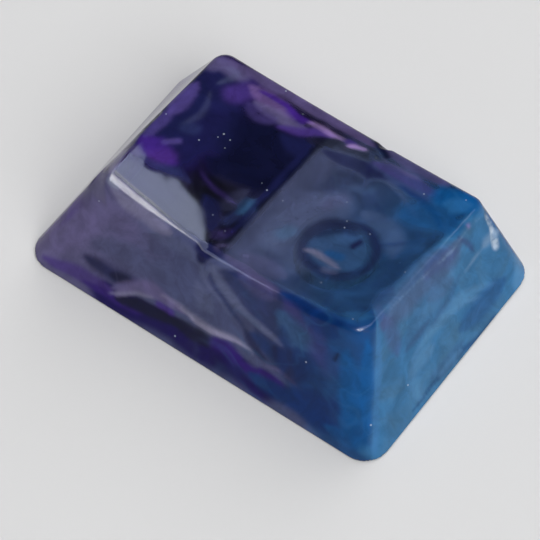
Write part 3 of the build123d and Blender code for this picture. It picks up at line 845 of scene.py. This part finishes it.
def soften_shine(mesh, points, inside):
    """Even shading over the worn edge, fading out where the wear ends."""
    soft = near_line(points, SOFT_EDGE, WORN_SHINE_REACH) * (1 - inside)
    fade = eased((-1.7 - points[:, 0]) / 1.0)
    corners = as_array(mesh.loops, "vertex_index", 1)[:, 0].astype(int)
    share = (np.clip(soft * 4, 0, 1) * fade)[corners][:, None]
    shading = as_array(mesh.corner_normals, "vector", 3)
    shading = shading * (1 - share) + worn_facing(points)[corners] * share
    shading /= np.linalg.norm(shading, axis=1)[:, None]
    mesh.normals_split_custom_set(shading.tolist())


def carve_chips(points, normals):
    """Cuts the chips and pits, and says how pale or dark each point of them is."""
    carved = np.zeros(len(points))
    for line, reach, depth, tone in CHIPS:
        chip = near_line(points, line, reach)
        rough = np.array([noise.noise(Vector(p) * 1.4) for p in points[chip > 0]])
        cut = np.zeros(len(points))
        cut[chip > 0] = depth * chip[chip > 0] * (0.75 + 0.6 * rough)
        points -= normals * cut[:, None]
        carved += tone * chip
    return carved


def wave_hollow(points, normals, inside, height):
    """Makes the hollow's skin uneven, away from the post and the rim."""
    post_axis = ((STEM_X, 0.0, 0.0), (STEM_X, 0.0, 7.0))
    share = inside * (1 - near_line(points, post_axis, 3.6) ** 0.5)
    share *= np.clip((points[:, 2] - 0.6) / 0.8, 0, 1)
    for index in np.nonzero(share > 0.01)[0]:
        place = Vector(points[index])
        swell = noise.noise(place * 0.55) + 0.5 * noise.noise(place * 1.3)
        points[index] += normals[index] * share[index] * height * swell


def take_true_normals(piece, source, share):
    """Takes the shading of the node's own smooth faces, by each point's share."""
    true = piece.vertex_groups.new(name="true_skin")
    for index in np.nonzero(share > 0.01)[0]:
        true.add([int(index)], float(share[index]), "REPLACE")
    piece.data.shade_smooth()
    gloss = piece.modifiers.new("true_normals", "DATA_TRANSFER")
    gloss.object = source
    gloss.use_loop_data = True
    gloss.data_types_loops = {"CUSTOM_NORMAL"}
    gloss.loop_mapping = "POLYINTERP_NEAREST"
    gloss.vertex_group = true.name
    settle(piece)


def shape_cast(piece, source, shape, look):
    """Worn front edge, chips and pits of the casting, its uneven hollow, and its pigment with the painted
    highlights, reflections and shade among it.
    """
    mesh = piece.data
    points = as_array(mesh.vertices, "co", 3) / MM
    normals = as_array(mesh.vertices, "normal", 3)
    edges = as_array(mesh.edges, "vertices", 2).astype(int)
    inside = inner_share(mesh)

    soft = near_line(points, SOFT_EDGE, WORN_REACH) * (1 - inside)
    points = relax(points, edges, soft, shape.soft_rounds)
    carved = carve_chips(points, normals)
    wave_hollow(points, normals, inside, shape.hollow_waves / MM)
    mesh.vertices.foreach_set("co", (points * MM).ravel())
    mesh.update()

    keep_values(mesh, "inside", inside)
    keep_values(mesh, "chipped", carved)
    lay_pigment_and_painted_light(mesh, points, normals, edges, inside, look)
    take_true_normals(piece, source, (1 - inside) * (1 - np.clip(np.abs(carved) * 3, 0, 1)))
    soften_shine(piece.data, points, inside)


def hue(name, description, colour):
    """A colour that the user may change."""
    return bpy.props.FloatVectorProperty(
        name=name, description=description, subtype="COLOR", min=0.0, max=1.0, default=colour)


def portion(name, description, amount):
    """A share between 0 and 1 that the user may change."""
    return bpy.props.FloatProperty(
        name=name, description=description, subtype="FACTOR", min=0.0, max=1.0, default=amount)


def length(name, description, size):
    """A length that the user may change."""
    return bpy.props.FloatProperty(
        name=name, description=description, unit="LENGTH", precision=5, default=size)


def angle(name, description, degrees):
    """An angle that the user may change."""
    return bpy.props.FloatProperty(
        name=name, description=description, subtype="ANGLE", default=math.radians(degrees))


class KeycapResin(bpy.types.PropertyGroup):
    """Colours and flow of the marbled resin."""

    violet: hue("Violet", "Left end of the pour", (0.050, 0.026, 0.17))
    plum: hue("Plum", "Deep violet", (0.022, 0.006, 0.13))
    band: hue("Foot band", "Dark band along the front foot", (0.004, 0.0, 0.065))
    ink: hue("Ink", "Darkest part of the pour", (0.003, 0.004, 0.022))
    navy: hue("Navy", "Middle of the pour", (0.008, 0.010, 0.055))
    slate: hue("Slate", "Dull blue folds", (0.025, 0.035, 0.115))
    deep: hue("Deep blue", "Dark blue folds", (0.002, 0.022, 0.115))
    blue: hue("Blue", "Right side of the pour", (0.008, 0.06, 0.20))
    bright: hue("Bright blue", "Strongest blue", (0.003, 0.078, 0.255))
    sky: hue("Sky", "Right end of the pour", (0.034, 0.145, 0.31))
    drift_blue: hue("Drifts", "Paler drifts at the right end", (0.045, 0.14, 0.265))
    drift_pale: hue("Pale edge", "Edge of the right end", (0.045, 0.16, 0.36))
    cyan: hue("Cyan", "Pale blue streaks", (0.075, 0.20, 0.37))
    teal: hue("Teal", "Green blue drifts", (0.035, 0.11, 0.24))
    lilac: hue("Lilac", "Pale violet", (0.112, 0.095, 0.215))
    veil: hue("Veil", "Lavender grey veil", (0.085, 0.078, 0.165))
    haze: hue("Haze", "Thin grey blue haze", (0.054, 0.063, 0.138))
    mist: hue("Mist", "Pale grey blue lines", (0.090, 0.105, 0.20))
    # Milk also colours two painted highlights: the glow under the worn front edge and the line along the
    # top of the left end.
    milk: hue("Milk", "Pale wisps", (0.22, 0.21, 0.32))
    pink: hue("Pink", "Pale pink streaks", (0.32, 0.21, 0.47))
    lavender: hue("Lavender", "Grey violet drift at the right end", (0.055, 0.095, 0.20))
    rosy: hue("Rosy lavender", "Warm pale violet", (0.125, 0.075, 0.225))
    mauve: hue("Mauve", "Dull violet at the right end", (0.048, 0.072, 0.195))
    # Partly painted light: this grey violet is set brighter than the resin's own tone, as the back edge
    # faces away from the lamps.
    rim: hue("Back rim", "Grey violet along the back edge", (0.072, 0.055, 0.145))
    panel: hue("Panel", "Clear violet at the left end", (0.074, 0.053, 0.22))
    purple: hue("Purple", "Strongest violet", (0.042, 0.014, 0.18))
    magenta: hue("Magenta", "Red violet spot", (0.085, 0.033, 0.21))
    # Frost also colours the painted highlight along the top edge of the right end.
    frost: hue("Frost", "Pale blue lines and scratches", (0.20, 0.31, 0.46))
    chamber: hue("Chamber", "Grey violet over the stem chamber", (0.080, 0.092, 0.185))
    glow: hue("Glow", "Pale blue cloud round the stem post", (0.112, 0.148, 0.28))
    ring: hue("Ring", "Blue cloud over the stem post", (0.026, 0.066, 0.16))
    glass: hue("Glass", "Tint of the clear resin by the rib", (0.135, 0.17, 0.32))
    glass_blue: hue("Blue glass", "Tint of the clear resin by the right end", (0.045, 0.16, 0.37))
    ceiling: hue("Ceiling", "Skin of the stem chamber", (0.20, 0.26, 0.38))
    post: hue("Post", "Outer skin of the stem post", (0.009, 0.020, 0.06))
    core: hue("Post core", "Socket and end of the stem post", (0.16, 0.24, 0.42))
    # Chip also colours the painted highlight at the worn front left corner.
    chip: hue("Chip", "Chipped edges and specks", (0.55, 0.64, 0.74))
    clarity: portion("Clarity", "Share of light that passes the clear resin", 0.85)
    cloudiness: portion("Cloudiness", "How far the brightness varies", 0.22)
    threads: portion("Threads", "Strength of the fine drawn lines", 0.14)
    drift: bpy.props.FloatProperty(
        name="Drift", description="How far the broad swirls wander, in millimetres", default=3.0)
    curl: bpy.props.FloatProperty(
        name="Curl", description="How far the fine swirls wander, in millimetres", default=0.8)


class KeycapShape(bpy.types.PropertyGroup):
    """Worn edges and uneven surfaces of the casting."""

    step: length("Face size", "Size of the casting's faces", 0.15 * MM)
    soft_rounds: bpy.props.IntProperty(
        name="Soft edge", description="How far the worn front edge is rounded off", default=40)
    hollow_waves: length("Hollow waves", "Height of the hollow's uneven skin", 0.10 * MM)


class KeycapStage(bpy.types.PropertyGroup):
    """Floor, backdrop and camera."""

    floor: hue("Floor", "Colour of the floor", (0.62, 0.62, 0.62))
    backdrop: hue("Backdrop", "Colour of the room at the horizon", (0.66, 0.66, 0.66))
    azimuth: angle("Azimuth", "How far the camera stands round from the front", 39.675)
    elevation: angle("Elevation", "How far the camera looks down", 57.99)
    roll: angle("Roll", "How far the camera is tilted", -3.976)
    distance: length("Distance", "Distance of the camera from the place that it looks at", 0.2099)
    target: bpy.props.FloatVectorProperty(
        name="Target", description="Place that the camera looks at", subtype="TRANSLATION", precision=6,
        default=(0.001509, -0.002714, 0.004))
    lens: bpy.props.FloatProperty(
        name="Lens", description="Focal length of the camera", unit="CAMERA", default=221.58)


class KEYCAP_OT_cast(bpy.types.Operator):
    """Cast the keycap in marbled resin"""

    bl_idname = "keycap.cast"
    bl_label = "Cast keycap"

    def execute(self, context):
        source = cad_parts["keycap"]
        piece = even_mesh(source, context.scene.keycap_shape.step)
        shape_cast(piece, source, context.scene.keycap_shape, context.scene.keycap_resin)
        piece.data.materials.clear()
        piece.data.materials.append(resin_material(context.scene.keycap_resin))
        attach(piece, "root")
        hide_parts("keycap")
        return {"FINISHED"}


def floor_material(stage):
    """Pale matt floor that runs into the backdrop away from the cap."""
    material = bpy.data.materials.new("pale_floor")
    material.use_nodes = True
    nodes = material.node_tree.nodes
    w = Wiring(material.node_tree)
    place = w.add("ShaderNodeTexCoord").outputs["Object"]
    shader = nodes["Principled BSDF"]
    shade = tuple(0.97 * c for c in stage.floor)
    w.feed_all(shader, {
        "Base Color": w.blend(w.noise(place, 9.0), shade, stage.floor),
        "Roughness": 0.7,
        "Specular IOR Level": 0.0,
    })
    backdrop = w.add("ShaderNodeEmission")
    w.feed(backdrop.inputs["Color"], stage.backdrop)
    ray = w.add("ShaderNodeLightPath").outputs
    mirrored = w.math("MAXIMUM", ray["Is Glossy Ray"], ray["Is Transmission Ray"])
    seen = w.math("MAXIMUM", ray["Is Camera Ray"], mirrored)
    far = w.step(w.vector("LENGTH", place), 0.12, 0.40)
    both = w.add("ShaderNodeMixShader")
    w.feed(both.inputs[0], w.math("MULTIPLY", far, seen))
    w.feed(both.inputs[1], shader.outputs[0])
    w.feed(both.inputs[2], backdrop.outputs[0])
    w.feed(nodes["Material Output"].inputs["Surface"], both.outputs[0])
    return material


def room(stage):
    """World that is pale at the horizon and dim overhead."""
    world = bpy.data.worlds.new("room")
    world.use_nodes = True
    w = Wiring(world.node_tree)
    height = w.parts(w.add("ShaderNodeTexCoord").outputs["Generated"])[2]
    sky = w.blend(w.step(height, 0.20, 0.50), stage.backdrop, ROOM_TOP)
    w.feed(world.node_tree.nodes["Background"].inputs["Color"], sky)
    return world


def soft_light(name, place, facing, turn, size, radiance, colour):
    """Soft panel that shines with a given brightness per area."""
    width, height = size
    lamp = bpy.data.lights.new(name, "AREA")
    lamp.shape = "RECTANGLE"
    lamp.size = width
    lamp.size_y = height
    lamp.energy = radiance * math.pi * width * height
    lamp.color = colour
    light = bpy.data.objects.new(name, lamp)
    bpy.context.scene.collection.objects.link(light)
    aim = Vector(facing).to_track_quat("-Z", "Y").to_matrix().to_4x4()
    light.matrix_world = Matrix.Translation(place) @ aim @ Matrix.Rotation(math.radians(turn), 4, "Z")
    return light


def shine_panel(name, turn, low, high, radiance, colour):
    """Level panel over the cap that shows only as a mirror image in the gloss."""
    middle = Vector(((low[0] + high[0]) / 2, (low[1] + high[1]) / 2, 1.0)) * PANEL_HEIGHT
    size = (high[0] - low[0]) * PANEL_HEIGHT, (high[1] - low[1]) * PANEL_HEIGHT
    place = Matrix.Rotation(math.radians(turn), 3, "Z") @ middle
    light = soft_light(name, place, (0, 0, -1), turn, size, radiance, colour)
    light.visible_diffuse = False
    light.visible_transmission = False
    light.visible_camera = False


def soft_lamp(name, place, side, radiance):
    """Square lamp that faces the cap and leaves no mirror image."""
    light = soft_light(name, place, -Vector(place), 0.0, (side, side), radiance, WHITE)
    light.visible_glossy = False


def stage_camera(stage):
    """Camera that looks at the cap from its azimuth and elevation."""
    level = math.cos(stage.elevation)
    back = Vector((
        math.sin(stage.azimuth) * level, -math.cos(stage.azimuth) * level, math.sin(stage.elevation)))
    lens = bpy.data.cameras.new("camera")
    lens.lens = stage.lens
    lens.sensor_width = 36.0
    lens.clip_start = 0.01
    lens.clip_end = 10.0
    camera = bpy.data.objects.new("camera", lens)
    bpy.context.scene.collection.objects.link(camera)
    turn = back.to_track_quat("Z", "Y").to_matrix().to_4x4()
    roll = Matrix.Rotation(stage.roll, 4, "Z")
    camera.matrix_world = Matrix.Translation(Vector(stage.target) + back * stage.distance) @ turn @ roll
    return camera


class KEYCAP_OT_stage(bpy.types.Operator):
    """Lay the floor and set the lights and the camera"""

    bl_idname = "keycap.stage"
    bl_label = "Set stage"

    def execute(self, context):
        scene = context.scene
        stage = scene.keycap_stage
        scene.view_settings.view_transform = "Standard"

        bpy.ops.mesh.primitive_plane_add(size=6.0)
        floor = context.object
        floor.name = "floor"
        floor.data.materials.append(floor_material(stage))
        scene.world = room(stage)
        for panel in SHINE_PANELS:
            shine_panel(*panel)
        for lamp in SOFT_LAMPS:
            soft_lamp(*lamp)
        scene.camera = stage_camera(stage)
        return {"FINISHED"}


class KEYCAP_PT_tools(bpy.types.Panel):
    """Tools for the marbled keycap"""

    bl_idname = "KEYCAP_PT_tools"
    bl_label = "Marbled keycap"
    bl_space_type = "VIEW_3D"
    bl_region_type = "UI"
    bl_category = "Keycap"

    def draw(self, context):
        scene = context.scene
        for operator, groups in (
            (KEYCAP_OT_cast, (scene.keycap_shape, scene.keycap_resin)),
            (KEYCAP_OT_stage, (scene.keycap_stage,)),
        ):
            box = self.layout.box()
            box.operator(operator.bl_idname)
            for settings in groups:
                for name in settings.__annotations__:
                    box.prop(settings, name)


CLASSES = (KeycapResin, KeycapShape, KeycapStage, KEYCAP_OT_cast, KEYCAP_OT_stage, KEYCAP_PT_tools)


def register():
    for item in CLASSES:
        bpy.utils.register_class(item)
    bpy.types.Scene.keycap_resin = bpy.props.PointerProperty(type=KeycapResin)
    bpy.types.Scene.keycap_shape = bpy.props.PointerProperty(type=KeycapShape)
    bpy.types.Scene.keycap_stage = bpy.props.PointerProperty(type=KeycapStage)


def unregister():
    del bpy.types.Scene.keycap_stage
    del bpy.types.Scene.keycap_shape
    del bpy.types.Scene.keycap_resin
    for item in reversed(CLASSES):
        bpy.utils.unregister_class(item)


def main():
    register()
    bpy.ops.keycap.cast()
    bpy.ops.keycap.stage()


if __name__ == "__main__":
    main()
